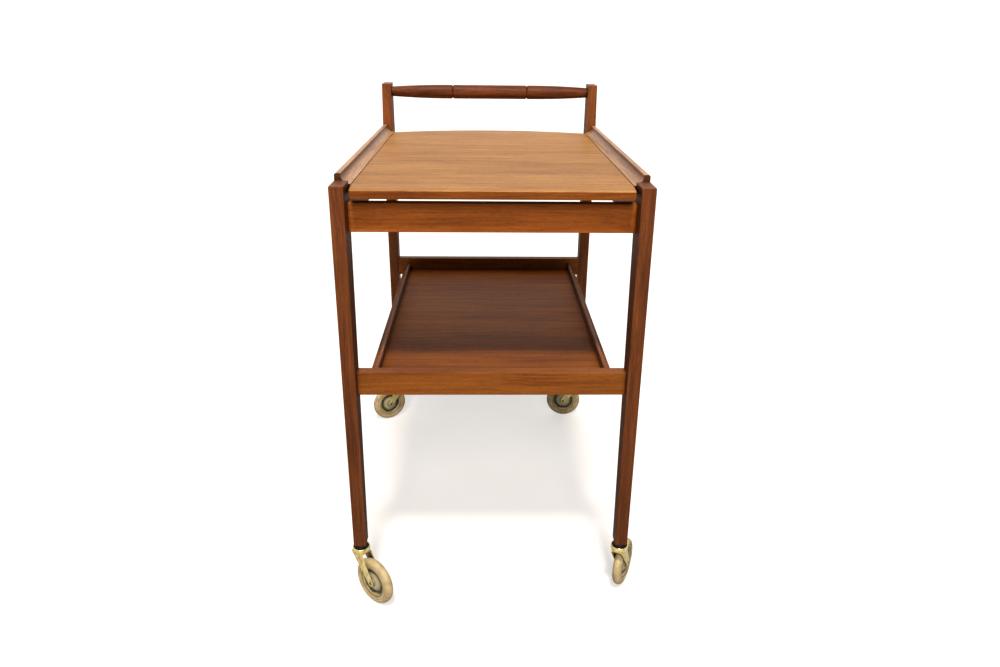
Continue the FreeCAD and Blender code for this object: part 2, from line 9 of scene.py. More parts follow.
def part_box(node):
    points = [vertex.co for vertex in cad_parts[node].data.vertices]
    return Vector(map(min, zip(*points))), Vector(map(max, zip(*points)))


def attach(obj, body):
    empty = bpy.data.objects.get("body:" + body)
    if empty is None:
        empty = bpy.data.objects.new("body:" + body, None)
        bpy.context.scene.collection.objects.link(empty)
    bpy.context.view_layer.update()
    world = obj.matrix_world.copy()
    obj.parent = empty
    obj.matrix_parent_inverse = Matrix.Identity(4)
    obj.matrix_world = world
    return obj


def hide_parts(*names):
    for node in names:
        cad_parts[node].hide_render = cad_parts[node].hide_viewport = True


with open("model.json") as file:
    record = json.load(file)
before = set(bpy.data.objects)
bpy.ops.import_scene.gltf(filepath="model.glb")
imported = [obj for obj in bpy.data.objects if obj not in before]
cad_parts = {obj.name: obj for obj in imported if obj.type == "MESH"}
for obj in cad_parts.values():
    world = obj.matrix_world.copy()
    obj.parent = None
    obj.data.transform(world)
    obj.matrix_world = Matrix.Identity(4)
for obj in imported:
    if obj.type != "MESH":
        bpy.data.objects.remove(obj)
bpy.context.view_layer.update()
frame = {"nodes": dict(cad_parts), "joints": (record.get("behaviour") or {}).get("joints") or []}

# ---- Legs -------------------------------------------------------------------------------
# Four flat boards of solid teak, tapered below the aprons, with their edges only just
# broken by sandpaper. They were oiled, and decades of oil and hands have turned them a
# deeper red-brown than the tray.

MM = 0.001


def linear(hex_colour):
    """An sRGB hex colour as the linear red, green, blue and alpha that a shader takes."""
    channels = [int(hex_colour[start:start + 2], 16) / 255 for start in (1, 3, 5)]
    return [c / 12.92 if c <= 0.04045 else ((c + 0.055) / 1.055) ** 2.4
            for c in channels] + [1.0]


def add_node(tree, kind, inputs=None, stops=(), **settings):
    """Adds a node. inputs gives a socket a value or another node's output to link from,
    and stops are the places and colours of a colour ramp."""
    node = tree.nodes.new(kind)
    for name, value in settings.items():
        setattr(node, name, value)
    for socket, value in (inputs or {}).items():
        if isinstance(value, bpy.types.NodeSocket):
            tree.links.new(value, node.inputs[socket])
        else:
            node.inputs[socket].default_value = value
    for index, (place, colour) in enumerate(stops):
        elements = node.color_ramp.elements
        stop = elements[index] if index < 2 else elements.new(place)
        stop.position = place
        stop.color = colour
    return node


def new_material(name):
    """A material with nothing in it yet but its shader, and that shader."""
    material = bpy.data.materials.new(name)
    material.use_nodes = True
    return material, material.node_tree, material.node_tree.nodes["Principled BSDF"]


def oiled_teak(name, grain, dark, middle, light, roughness=0.5, polish=0.1, board=1.0,
               first_joint=0.0, upright_shade_tint=None, painted_light=None, arris=1.0, end_grain=1.0):
    """Oiled teak, an open-pored golden to red-brown wood. Its growth rings show as soft
    streaks along the grain, and its pores as fine dark dashes that catch the oil. A wide
    panel is glued up from boards, each a little different and cut from its own figure."""
    streak_length, streak_width = 350 * MM, 11 * MM
    ring_length, ring_width = 200 * MM, 3.6 * MM
    fibre_length, fibre_width = 60 * MM, 1.3 * MM
    cloud_length, cloud_width = 160 * MM, 60 * MM
    pore_length, pore_width = 9 * MM, 0.7 * MM
    pore_start, pore_full, pore_depth = 0.56, 0.70, 0.12 * MM
    wander_length, wander_depth = 200 * MM, 18 * MM
    streak_share, ring_share, fibre_share, cloud_share, board_share = 0.25, 0.30, 0.27, 0.18, 0.06
    dark_line = 0.35
    shade_and_dirt_reach, shut_in, in_the_open, darkest_shade_and_dirt = 9 * MM, 0.35, 0.85, 0.5
    ring_dulling, pore_dulling = 0.16, 0.15
    joint_half_width = 0.35 * MM
    material, tree, shader = new_material(name)
    turned = {"X": (0, 0, 0), "Y": (0, 0, -math.pi / 2), "Z": (0, math.pi / 2, 0)}[grain]
    place = add_node(tree, "ShaderNodeTexCoord")
    along = add_node(tree, "ShaderNodeMapping",
                     {"Vector": place.outputs["Object"], "Rotation": turned})
    across = add_node(tree, "ShaderNodeSeparateXYZ", {0: along.outputs[0]})
    # Boards are counted across the grain, and each has a number of its own from 0 to 1
    count = add_node(tree, "ShaderNodeMath", {0: across.outputs["Y"], 1: -first_joint},
                     operation="ADD")
    count = add_node(tree, "ShaderNodeMath", {0: count.outputs[0], 1: board},
                     operation="DIVIDE")
    which = add_node(tree, "ShaderNodeMath", {0: count.outputs[0]}, operation="FLOOR")
    tone = add_node(tree, "ShaderNodeTexWhiteNoise", {"W": which.outputs[0]},
                    noise_dimensions="1D")
    shifted = add_node(tree, "ShaderNodeVectorMath",
                       {0: along.outputs[0], 1: tone.outputs["Color"]}, operation="ADD")
    # The grain wanders a few millimetres sideways over its length
    wander = add_node(tree, "ShaderNodeTexNoise",
                      {"Vector": shifted.outputs[0], "Scale": 1 / wander_length,
                       "Detail": 1.0})
    wander = add_node(tree, "ShaderNodeVectorMath",
                      {0: wander.outputs["Color"], 1: (0, wander_depth, wander_depth),
                       2: shifted.outputs[0]}, operation="MULTIPLY_ADD")
    patterns = []
    for length, width, detail in ((streak_length, streak_width, 4.0),
                                  (ring_length, ring_width, 2.0),
                                  (fibre_length, fibre_width, 2.0),
                                  (cloud_length, cloud_width, 2.0),
                                  (pore_length, pore_width, 1.0)):
        scaled = add_node(tree, "ShaderNodeMapping",
                          {"Vector": wander.outputs[0],
                           "Scale": (1 / length, 1 / width, 1 / width)})
        patterns.append(add_node(tree, "ShaderNodeTexNoise",
                                 {"Vector": scaled.outputs[0], "Scale": 1.0,
                                  "Detail": detail, "Roughness": 0.55}).outputs[0])
    streak, ring, fibre, cloud, pore = patterns
    figure = add_node(tree, "ShaderNodeMath", {0: streak, 1: streak_share},
                      operation="MULTIPLY")
    for pattern, share in ((ring, ring_share), (fibre, fibre_share), (cloud, cloud_share),
                           (tone.outputs["Value"], board_share)):
        figure = add_node(tree, "ShaderNodeMath", {0: pattern, 1: share, 2: figure.outputs[0]},
                          operation="MULTIPLY_ADD")
    colour = add_node(tree, "ShaderNodeValToRGB", {0: figure.outputs[0]},
                      stops=[(0.42, linear(dark)), (0.53, linear(middle)),
                             (0.64, linear(light))])
    pores = add_node(tree, "ShaderNodeMapRange",
                     {0: pore, 1: pore_start, 2: pore_full}, clamp=True)
    edge = add_node(tree, "ShaderNodeMath", {0: count.outputs[0], 1: 0.5},
                    operation="PINGPONG")
    joint = add_node(tree, "ShaderNodeMath",
                     {0: edge.outputs[0], 1: joint_half_width / board}, operation="LESS_THAN")
    shade = add_node(tree, "ShaderNodeMath", {0: pores.outputs[0], 1: joint.outputs[0]},
                     operation="MAXIMUM")
    shade = add_node(tree, "ShaderNodeMath", {0: shade.outputs[0], 1: -dark_line, 2: 1.0},
                     operation="MULTIPLY_ADD")
    # Painted shade: occlusion darkens the colour where one piece meets another and in hollows,
    # where shade falls, and stands also for the wax and dust that gather there
    corner_shade_and_dirt = add_node(tree, "ShaderNodeAmbientOcclusion", {"Distance": shade_and_dirt_reach},
                           samples=6)
    shade_and_dirt_factor = add_node(tree, "ShaderNodeMapRange",
                     {0: corner_shade_and_dirt.outputs["AO"], 1: shut_in, 2: in_the_open,
                      3: darkest_shade_and_dirt, 4: 1.0})
    shade = add_node(tree, "ShaderNodeMath", {0: shade.outputs[0], 1: shade_and_dirt_factor.outputs[0]},
                     operation="MULTIPLY")
    facing = add_node(tree, "ShaderNodeVectorMath", {0: place.outputs["Normal"]},
                      operation="ABSOLUTE")
    facing = add_node(tree, "ShaderNodeSeparateXYZ", {0: facing.outputs[0]})
    if arris != 1.0:
        # Rounded edges face between two of the piece's own directions, and are painted paler: a
        # painted highlight along each arris
        on_edge, on_face = 0.80, 0.95
        most = add_node(tree, "ShaderNodeMath",
                        {0: facing.outputs["X"], 1: facing.outputs["Y"]}, operation="MAXIMUM")
        most = add_node(tree, "ShaderNodeMath", {0: most.outputs[0], 1: facing.outputs["Z"]},
                        operation="MAXIMUM")
        wear_and_edge_highlight = add_node(tree, "ShaderNodeMapRange",
                        {0: most.outputs[0], 1: on_edge, 2: on_face, 3: arris, 4: 1.0})
        shade = add_node(tree, "ShaderNodeMath", {0: shade.outputs[0], 1: wear_and_edge_highlight.outputs[0]},
                         operation="MULTIPLY")
    if end_grain != 1.0:
        # End grain drinks the oil and goes dark
        slanted, cut_across = 0.5, 0.8
        cut = add_node(tree, "ShaderNodeMapRange",
                       {0: facing.outputs[grain], 1: slanted, 2: cut_across, 3: 1.0,
                        4: end_grain})
        shade = add_node(tree, "ShaderNodeMath", {0: shade.outputs[0], 1: cut.outputs[0]},
                         operation="MULTIPLY")
    if painted_light:
        # Painted light and shade: some stretches of the piece are painted paler or darker along
        # one axis, standing in for how the lamps' light falls on it
        axis, start, end, stretches = painted_light
        run = add_node(tree, "ShaderNodeSeparateXYZ", {0: place.outputs["Object"]})
        run = add_node(tree, "ShaderNodeMapRange", {0: run.outputs[axis], 1: start, 2: end})
        palest = max(paleness for _, paleness in stretches)
        painted_light_ramp = add_node(tree, "ShaderNodeValToRGB", {0: run.outputs[0]},
                            stops=[(share, [paleness / palest] * 3 + [1.0])
                                   for share, paleness in stretches])
        shade = add_node(tree, "ShaderNodeMath", {0: shade.outputs[0], 1: painted_light_ramp.outputs[0]},
                         operation="MULTIPLY")
        shade = add_node(tree, "ShaderNodeMath", {0: shade.outputs[0], 1: palest},
                         operation="MULTIPLY")
    stained = add_node(tree, "ShaderNodeVectorMath",
                       {0: colour.outputs[0], "Scale": shade.outputs[0]}, operation="SCALE")
    if upright_shade_tint:
        # Upright faces are painted a deeper colour than flat ones: painted shade, standing in for
        # the lamps lighting the flat tops more
        upright, flat = 0.35, 0.8
        level = add_node(tree, "ShaderNodeMapRange",
                         {0: facing.outputs["Z"], 1: upright, 2: flat})
        tint = add_node(tree, "ShaderNodeMix",
                        {0: level.outputs[0], 6: linear(upright_shade_tint), 7: (1, 1, 1, 1)},
                        data_type="RGBA")
        stained = add_node(tree, "ShaderNodeVectorMath",
                           {0: stained.outputs[0], 1: tint.outputs[2]}, operation="MULTIPLY")
    tree.links.new(stained.outputs[0], shader.inputs["Base Color"])
    # Oil fills the streaks and leaves the pores dull
    dull = add_node(tree, "ShaderNodeMath",
                    {0: ring, 1: ring_dulling, 2: roughness - ring_dulling / 2},
                    operation="MULTIPLY_ADD")
    dull = add_node(tree, "ShaderNodeMath",
                    {0: pores.outputs[0], 1: pore_dulling, 2: dull.outputs[0]},
                    operation="MULTIPLY_ADD")
    tree.links.new(dull.outputs[0], shader.inputs["Roughness"])
    depth = add_node(tree, "ShaderNodeMath", {0: pores.outputs[0], 1: -1.0, 2: ring},
                     operation="MULTIPLY_ADD")
    bump = add_node(tree, "ShaderNodeBump",
                    {"Height": depth.outputs[0], "Strength": 0.25, "Distance": pore_depth})
    tree.links.new(bump.outputs[0], shader.inputs["Normal"])
    shader.inputs["IOR"].default_value = 1.5
    shader.inputs["Specular IOR Level"].default_value = polish
    return material


def finish_node(node, material):
    """Gives a piece that keeps its own shape its finish."""
    slots = frame["nodes"][node].data.materials
    slots.clear()
    slots.append(material)


# The legs are painted darker towards the floor and paler towards the top: a painted falloff of
# the lamps' light
leg_teak = oiled_teak("oiled teak, legs", "Z", "#44210e", "#5a2e13", "#6d3c1b",
                      painted_light=("Z", 120 * MM, 640 * MM, [(0, 0.72), (1, 1.25)]),
                      arris=1.35)
corners = ("front_left", "front_right", "back_left", "back_right")
for corner in corners:
    finish_node("leg_" + corner, leg_teak)

# ---- Aprons -----------------------------------------------------------------------------
# The frame under the tray: an end apron between the legs at the front and the back, and a
# side apron along each side, all of straight-grained teak, brighter than the legs.

end_teak = oiled_teak("oiled teak, end aprons", "X", "#793d11", "#904b16", "#a1581b",
                      arris=1.2)
side_teak = oiled_teak("oiled teak, side aprons", "Y", "#5f2c10", "#7d3f17", "#96501f",
                       arris=1.2)
for node in ("apron_front", "apron_back"):
    finish_node(node, end_teak)
for node in ("apron_left", "apron_right"):
    finish_node(node, side_teak)

# ---- Dowels and tenons in the aprons ----------------------------------------------------
# Pale turned beech dowels and loose beech tenons, glued across the joints of the frame.
# Beech is close-grained and pink-buff, with short dark flecks.

fleck_length, fleck_width = 2.5 * MM, 0.5 * MM
beech, tree, shader = new_material("planed beech")
place = add_node(tree, "ShaderNodeTexCoord")
scaled = add_node(tree, "ShaderNodeMapping",
                  {"Vector": place.outputs["Object"],
                   "Scale": (1 / fleck_length, 1 / fleck_width, 1 / fleck_width)})
flecks = add_node(tree, "ShaderNodeTexNoise", {"Vector": scaled.outputs[0], "Scale": 1.0})
colour = add_node(tree, "ShaderNodeValToRGB", {0: flecks.outputs[0]},
                  stops=[(0.35, linear("#a97a4e")), (0.55, linear("#cfa477"))])
tree.links.new(colour.outputs[0], shader.inputs["Base Color"])
shader.inputs["Roughness"].default_value = 0.6
finish_node("apron_dowels", beech)
finish_node("apron_tenons", beech)

# ---- Push handle ------------------------------------------------------------------------
# One length of teak turned on a lathe: a straight middle between two cut grooves, and a
# long swell down to a spigot that is glued into each back leg.

weld_distance = 0.001 * MM


def turn(name, profile, axis, segments=64, closed=False):
    """A turned piece: a circle is extruded and resized along its axis, from one place and
    radius of the profile to the next. A closed profile ends where it began."""
    along = Vector(axis)
    across = Vector((1, 1, 1)) - along
    start, radius = profile[0]
    bpy.ops.object.select_all(action="DESELECT")
    bpy.ops.mesh.primitive_circle_add(vertices=segments, radius=radius, location=along * start,
                                      rotation=along.to_track_quat("Z", "Y").to_euler())
    piece = bpy.context.object
    piece.name = name
    bpy.ops.object.transform_apply(location=True, rotation=True, scale=True)
    bpy.ops.object.mode_set(mode="EDIT")
    bpy.ops.mesh.select_all(action="SELECT")
    for (place, radius), (next_place, next_radius) in zip(profile, profile[1:]):
        step = along * (next_place - place)
        bpy.ops.mesh.extrude_region_move(TRANSFORM_OT_translate={"value": step})
        growth = along + across * (next_radius / radius)
        bpy.ops.transform.resize(value=growth, center_override=along * next_place)
    bpy.ops.mesh.select_all(action="SELECT")
    if closed:
        bpy.ops.mesh.remove_doubles(threshold=weld_distance)
    else:
        bpy.ops.mesh.fill_holes(sides=0)
    bpy.ops.mesh.normals_make_consistent(inside=False)
    bpy.ops.object.mode_set(mode="OBJECT")
    return piece


def soften(piece, radius, steps=2, limit=30):
    """Rounds the piece's sharp edges and shades the rest smooth."""
    bpy.ops.object.select_all(action="DESELECT")
    piece.select_set(True)
    bpy.context.view_layer.objects.active = piece
    bevel = piece.modifiers.new("rounded edges", "BEVEL")
    bevel.width = radius
    bevel.segments = steps
    bevel.limit_method = "ANGLE"
    bevel.angle_limit = math.radians(limit)
    bpy.ops.object.modifier_apply(modifier=bevel.name)
    bpy.ops.object.shade_smooth_by_angle(angle=math.radians(limit))


handle_low, handle_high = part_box("handle")
handle_radius = (handle_high.z - handle_low.z) / 2
handle_centre = (handle_low + handle_high) / 2
spigot_length = 12 * MM
spigot_radius = 7 * MM
handle_reach = (handle_high.x - handle_low.x) / 2 - spigot_length
handle_end_radius = 9.25 * MM
swell_length = 110 * MM
swell_steps = 16
groove_place = 74 * MM
groove_half_width = 1.7 * MM
groove_depth = 2.0 * MM
groove_lip = 0.5 * MM
swell_start = handle_reach - swell_length
right_half = [(groove_place - groove_half_width - groove_lip, handle_radius),
              (groove_place - groove_half_width, handle_radius - groove_lip / 2),
              (groove_place, handle_radius - groove_depth),
              (groove_place + groove_half_width, handle_radius - groove_lip / 2),
              (groove_place + groove_half_width + groove_lip, handle_radius)]
for step in range(swell_steps + 1):
    share = step / swell_steps
    right_half.append((swell_start + share * swell_length,
                       handle_radius - (handle_radius - handle_end_radius) * share ** 2))
right_half += [(handle_reach, spigot_radius), (handle_reach + spigot_length, spigot_radius)]
left_half = [(-place, radius) for place, radius in reversed(right_half)]
handle = turn("turned_handle", left_half + right_half, (1, 0, 0), segments=72)
handle.data.transform(Matrix.Translation(handle_centre))
soften(handle, 0.2 * MM, limit=20)
handle_teak = oiled_teak("oiled teak, handle", "X", "#321508", "#58290f", "#6d3a18")
handle.data.materials.append(handle_teak)
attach(handle, "frame")
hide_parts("handle")

# ---- Lift-off tray ----------------------------------------------------------------------
# A panel glued up from teak boards, with a coved teak rail along each side. It lies loose
# on the side aprons between the legs, and only its rails have kept some of their polish.

# The tray's upright front edge is painted deeper as shade, and its rounded arrises paler as a
# highlight
tray_teak = oiled_teak("oiled teak, tray panel", "X", "#764a1e", "#91622d", "#a4783f",
                       polish=0.09, board=104 * MM, first_joint=129 * MM,
                       upright_shade_tint="#c09569", arris=1.45)
# The rails are paler and greyer than the panel, partly painted sheen of the bright backdrop along
# their coves; their upright faces are painted a little deeper as shade
rail_teak = oiled_teak("oiled teak, tray rails", "Y", "#704a2b", "#936940", "#aa8358",
                       roughness=0.42, polish=0.25, upright_shade_tint="#cda67c", end_grain=0.3)
finish_node("tray_panel", tray_teak)
for node in ("tray_rail_left", "tray_rail_right"):
    finish_node(node, rail_teak)

# ---- Lower shelf ------------------------------------------------------------------------
# A thinner glued-up panel held in grooves between two rails, with a thin upright strip let
# in along each side to keep bottles from sliding off.

# The shelf is painted darkest just behind its front strip, where the tray's shadow falls, and
# much paler towards the back: painted shadow, and painted light from behind
shelf_teak = oiled_teak("oiled teak, shelf panel", "X", "#552a0b", "#6e3a11", "#7c4817",
                        polish=0.05, board=104 * MM, first_joint=40 * MM,
                        painted_light=("Y", -165 * MM, 270 * MM,
                                  [(0, 0.95), (0.06, 0.60), (0.85, 2.2)]))
shelf_rail_teak = oiled_teak("oiled teak, shelf rails", "X", "#5b2d0b", "#713d12", "#804817",
                             arris=1.25)
strip_teak = oiled_teak("oiled teak, shelf strips", "Y", "#502b13", "#683d1e", "#7c4e2b",
                        arris=1.4)
finish_node("shelf_panel", shelf_teak)
for node in ("shelf_rail_front", "shelf_rail_back"):
    finish_node(node, shelf_rail_teak)
for node in ("shelf_strip_left", "shelf_strip_right"):
    finish_node(node, strip_teak)

# ---- Screws and plugs -------------------------------------------------------------------
# Countersunk zinc-plated steel screws hold the shelf's rails to the legs. Each is hidden
# by a domed teak plug, turned across the grain, so it shows darker than the leg.


def plated_steel(name, colour, roughness, patch=4 * MM):
    """Plated steel: a dull silver skin, cloudy where the plating has aged."""
    material, tree, shader = new_material(name)
    place = add_node(tree, "ShaderNodeTexCoord")
    clouds = add_node(tree, "ShaderNodeTexNoise",
                      {"Vector": place.outputs["Object"], "Scale": 1 / patch, "Detail": 4.0})
    worn_share, cloud_dulling, shine = 0.6, 0.25, 0.12
    wear_and_edge_highlight = [channel * worn_share for channel in linear(colour)[:3]] + [1.0]
    tint = add_node(tree, "ShaderNodeValToRGB", {0: clouds.outputs[0]},
                    stops=[(0.35, wear_and_edge_highlight), (0.60, linear(colour))])
    dull = add_node(tree, "ShaderNodeMath",
                    {0: clouds.outputs[0], 1: cloud_dulling, 2: roughness - shine},
                    operation="MULTIPLY_ADD")
    tree.links.new(tint.outputs[0], shader.inputs["Base Color"])
    tree.links.new(dull.outputs[0], shader.inputs["Roughness"])
    shader.inputs["Metallic"].default_value = 1.0
    return material


zinc = plated_steel("zinc-plated steel", "#a9abaa", 0.42)
plug_teak = oiled_teak("oiled teak, plugs", "X", "#331409", "#4d2314", "#63301d")
finish_node("shelf_screws", zinc)
finish_node("leg_plugs", plug_teak)

# ---- Caster sockets and stems -----------------------------------------------------------
# A zinc-plated steel sleeve is driven into each leg, and its flange covers the end grain.
# The caster's steel stem turns in it and is riveted over under the fork.

for corner in corners:
    finish_node("caster_socket_" + corner, zinc)
    finish_node("caster_stem_" + corner, zinc)

# ---- Bearing caps -----------------------------------------------------------------------
# A pressed steel cap, enamelled black, covers the ball bearing between leg and fork. It
# stands still in the fork's cup.

joints = {joint["name"]: joint for joint in frame["joints"]}
places = {}
for corner in corners:
    pivot = Vector(joints["swivel_" + corner]["pos_m"])
    wheel = Vector(joints["roll_" + corner]["pos_m"])
    trailing = math.atan2(wheel.y - pivot.y, wheel.x - pivot.x)
    pivot.z = 0
    places[corner] = Matrix.Translation(pivot) @ Matrix.Rotation(trailing, 4, "Z")


def fit_casters(pattern, node, body):
    """Copies a piece drawn about its swivel axis, trailing along +X, to every corner.
    Each copy stands for the corner's own node, and the pattern is put away."""
    for corner in corners:
        piece = pattern.copy()
        piece.data = pattern.data.copy()
        piece.data.transform(places[corner])
        piece.name = f"{pattern.name}_{corner}"
        bpy.context.collection.objects.link(piece)
        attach(piece, f"{body}_{corner}" if body != "frame" else body)
        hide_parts(f"{node}_{corner}")
    bpy.data.objects.remove(pattern)


cap_low, cap_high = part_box("bearing_cap_front_left")
cap_radius = (cap_high.x - cap_low.x) / 2
cap_neck = 8.6 * MM
cap_bore = 4.9 * MM
cap_height = cap_high.z - cap_low.z
cap_wall = cap_low.z + cap_height / 2
cap_profile = [(cap_low.z, cap_bore), (cap_low.z, cap_radius), (cap_wall, cap_radius)]
dome_steps = 8
for step in range(1, dome_steps + 1):
    angle = math.pi / 2 * step / dome_steps
    cap_profile.append((cap_wall + (cap_high.z - cap_wall) * math.sin(angle),
                        cap_neck + (cap_radius - cap_neck) * math.cos(angle)))
cap_profile += [(cap_high.z, cap_bore), (cap_low.z, cap_bore)]
cap = turn("black_cap", cap_profile, (0, 0, 1), segments=48, closed=True)
soften(cap, 0.4 * MM)
# Stove enamel is a thin hard skin with a low gleam, chipped here and there to brown
black_enamel, tree, shader = new_material("black stove enamel")
place = add_node(tree, "ShaderNodeTexCoord")
chip_size = 1.5 * MM
chips = add_node(tree, "ShaderNodeTexNoise",
                 {"Vector": place.outputs["Object"], "Scale": 1 / chip_size, "Detail": 3.0})
colour = add_node(tree, "ShaderNodeValToRGB", {0: chips.outputs[0]},
                  stops=[(0.62, linear("#0d0a08")), (0.76, linear("#2c221b"))])
tree.links.new(colour.outputs[0], shader.inputs["Base Color"])
dull = add_node(tree, "ShaderNodeMath", {0: chips.outputs[0], 1: 0.3, 2: 0.32},
                operation="MULTIPLY_ADD")
tree.links.new(dull.outputs[0], shader.inputs["Roughness"])
shader.inputs["Specular IOR Level"].default_value = 0.2
cap.data.materials.append(black_enamel)
fit_casters(cap, "bearing_cap", "frame")

# ---- Forks ------------------------------------------------------------------------------
# Each fork is stamped from brass sheet: a drawn cup round the bearing, and a bent strap
# whose arms lean back and taper to the axle. It was polished and has gone patchy.

wheel_radius = joints["roll_front_left"]["pos_m"][2]
trail = (Vector(joints["roll_front_left"]["pos_m"])
         - Vector(joints["swivel_front_left"]["pos_m"])).length
fork_bottom = 82.0 * MM
cup_radius, cup_inner, cup_top = 13.5 * MM, 11.6 * MM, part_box("fork_front_left")[1].z
sheet = 2.0 * MM
cup_floor = 2.4 * MM
floor_top = fork_bottom + cup_floor
stem_hole = 4.85 * MM
rim_roll = (cup_radius - cup_inner) / 2
# The cup's drawn corners, each point as its rise over the floor and its inset from the wall
outer_corner = [(0, 3 * MM), (1.0 * MM, MM), (2.6 * MM, 0)]
inner_corner = [(1.2 * MM, 0), (0.3 * MM, 0.8 * MM), (0, 1.8 * MM)]
cup_profile = [(floor_top, stem_hole), (fork_bottom, stem_hole)]
cup_profile += [(fork_bottom + rise, cup_radius - inset) for rise, inset in outer_corner]
roll_steps = 8
for step in range(roll_steps + 1):
    angle = math.pi * step / roll_steps
    cup_profile.append((cup_top - rim_roll + rim_roll * math.sin(angle),
                        cup_inner + rim_roll + rim_roll * math.cos(angle)))
cup_profile += [(floor_top + rise, cup_inner - inset) for rise, inset in inner_corner]
cup_profile.append((floor_top, stem_hole))
fork = turn("brass_fork", cup_profile, (0, 0, 1), segments=64, closed=True)
soften(fork, 0.15 * MM)

arm_outer = 10.2 * MM
bend_radius = 3.2 * MM
bend_steps = 6
half_top = 12.05 * MM
end_radius = 5.7 * MM
tip_steps = 8
axle = Vector((trail, 0, wheel_radius))


def select_edge(test):
    """Selects what passes a test of its place, in the piece that is being edited."""
    mesh = bmesh.from_edit_mesh(bpy.context.object.data)
    bpy.ops.mesh.select_all(action="DESELECT")
    for corner_point in mesh.verts:
        corner_point.select = test(corner_point.co)
    mesh.select_flush(True)
    bmesh.update_edit_mesh(bpy.context.object.data)


# Half of the strap: its flat top, the bend, the leaning arm and the round tip
bpy.ops.object.select_all(action="DESELECT")
flat = arm_outer - bend_radius
bpy.ops.mesh.primitive_plane_add(size=1, location=(0, flat / 2, floor_top))
strap = bpy.context.object
strap.scale = (2 * half_top, flat, 1)
bpy.ops.object.transform_apply(location=True, rotation=True, scale=True)
bpy.ops.object.mode_set(mode="EDIT")
select_edge(lambda point: point.y > flat / 2)
for step in range(bend_steps):
    bpy.ops.mesh.extrude_region_move(TRANSFORM_OT_translate={"value": (0, 0, 0)})
    bpy.ops.transform.rotate(value=math.pi / 2 / bend_steps, orient_axis="X",
                             center_override=(0, flat, floor_top - bend_radius))
bend_foot = floor_top - bend_radius
lean = math.atan2(trail, bend_foot - axle.z)
waist = Vector((trail, arm_outer, axle.z))
bpy.ops.mesh.extrude_region_move(
    TRANSFORM_OT_translate={"value": waist - Vector((0, arm_outer, bend_foot))})
bpy.ops.transform.resize(value=(end_radius / half_top, 1, 1), center_override=waist)
bpy.ops.transform.rotate(value=lean, orient_axis="Y", center_override=waist)
tip_direction = Vector((math.sin(lean), 0, -math.cos(lean)))
reached, width = 0.0, 1.0
for step in range(1, tip_steps):
    angle = math.pi / 2 * step / tip_steps
    forward, next_width = end_radius * math.sin(angle), math.cos(angle)
    bpy.ops.mesh.extrude_region_move(
        TRANSFORM_OT_translate={"value": tip_direction * (forward - reached)})
    growth = next_width / width
    bpy.ops.transform.resize(value=(growth, growth, growth),
                             center_override=waist + tip_direction * forward)
    reached, width = forward, next_width
bpy.ops.object.mode_set(mode="OBJECT")
mirror = strap.modifiers.new("other arm", "MIRROR")
mirror.use_axis = (False, True, False)
mirror.merge_threshold = weld_distance
bpy.ops.object.modifier_apply(modifier=mirror.name)
solid = strap.modifiers.new("sheet", "SOLIDIFY")
solid.thickness = sheet
solid.offset = -1
bpy.ops.object.modifier_apply(modifier=solid.name)
soften(strap, 0.35 * MM, limit=40)

union = fork.modifiers.new("cup and strap", "BOOLEAN")
union.operation = "UNION"
union.solver = "EXACT"
union.object = strap
bpy.ops.object.select_all(action="DESELECT")
bpy.context.view_layer.objects.active = fork
fork.select_set(True)
bpy.ops.object.modifier_apply(modifier=union.name)
bpy.ops.object.shade_smooth_by_angle(angle=math.radians(30))
bpy.data.objects.remove(strap)

# Brass is yellow all through. Where it was rubbed it is pale and bright, and tarnish has
# clouded the rest
brass, tree, shader = new_material("aged polished brass")
tarnish_size, scratch_size, scratch_depth = 7 * MM, 0.9 * MM, 0.05 * MM
dullest, rubbed_shine = 0.42, 0.35
place = add_node(tree, "ShaderNodeTexCoord")
tarnish = add_node(tree, "ShaderNodeTexNoise",
                   {"Vector": place.outputs["Object"], "Scale": 1 / tarnish_size,
                    "Detail": 5.0, "Roughness": 0.6})
colour = add_node(tree, "ShaderNodeValToRGB", {0: tarnish.outputs[0]},
                  stops=[(0.34, linear("#b69d56")), (0.50, linear("#ead38a")),
                         (0.66, linear("#f6e9b6"))])
# Occlusion paints the faces that look at the wheel, and other hollows, brown-black: painted
# shade, standing also for tarnish where polish never reached them
shade_and_tarnish_reach, shut_in, in_the_open, blackest = 24 * MM, 0.40, 0.72, 0.04
sheltered = add_node(tree, "ShaderNodeAmbientOcclusion", {"Distance": shade_and_tarnish_reach}, samples=6)
painted_shade = add_node(tree, "ShaderNodeMapRange",
                  {0: sheltered.outputs["AO"], 1: shut_in, 2: in_the_open, 3: blackest,
                   4: 1.0})
colour = add_node(tree, "ShaderNodeVectorMath",
                  {0: colour.outputs[0], "Scale": painted_shade.outputs[0]}, operation="SCALE")
scratches = add_node(tree, "ShaderNodeTexNoise",
                     {"Vector": place.outputs["Object"], "Scale": 1 / scratch_size})
dull = add_node(tree, "ShaderNodeMath",
                {0: tarnish.outputs[0], 1: -rubbed_shine, 2: dullest},
                operation="MULTIPLY_ADD")
bump = add_node(tree, "ShaderNodeBump", {"Height": scratches.outputs[0], "Strength": 0.2,
                                         "Distance": scratch_depth})
tree.links.new(colour.outputs[0], shader.inputs["Base Color"])
tree.links.new(dull.outputs[0], shader.inputs["Roughness"])
tree.links.new(bump.outputs[0], shader.inputs["Normal"])
shader.inputs["Metallic"].default_value = 0.7
fork.data.materials.clear()
fork.data.materials.append(brass)
fit_casters(fork, "fork", "fork")

# ---- Axles ------------------------------------------------------------------------------
# A steel pin through both arms and the hub, its ends riveted over to low domes and gone
# dark with grease.

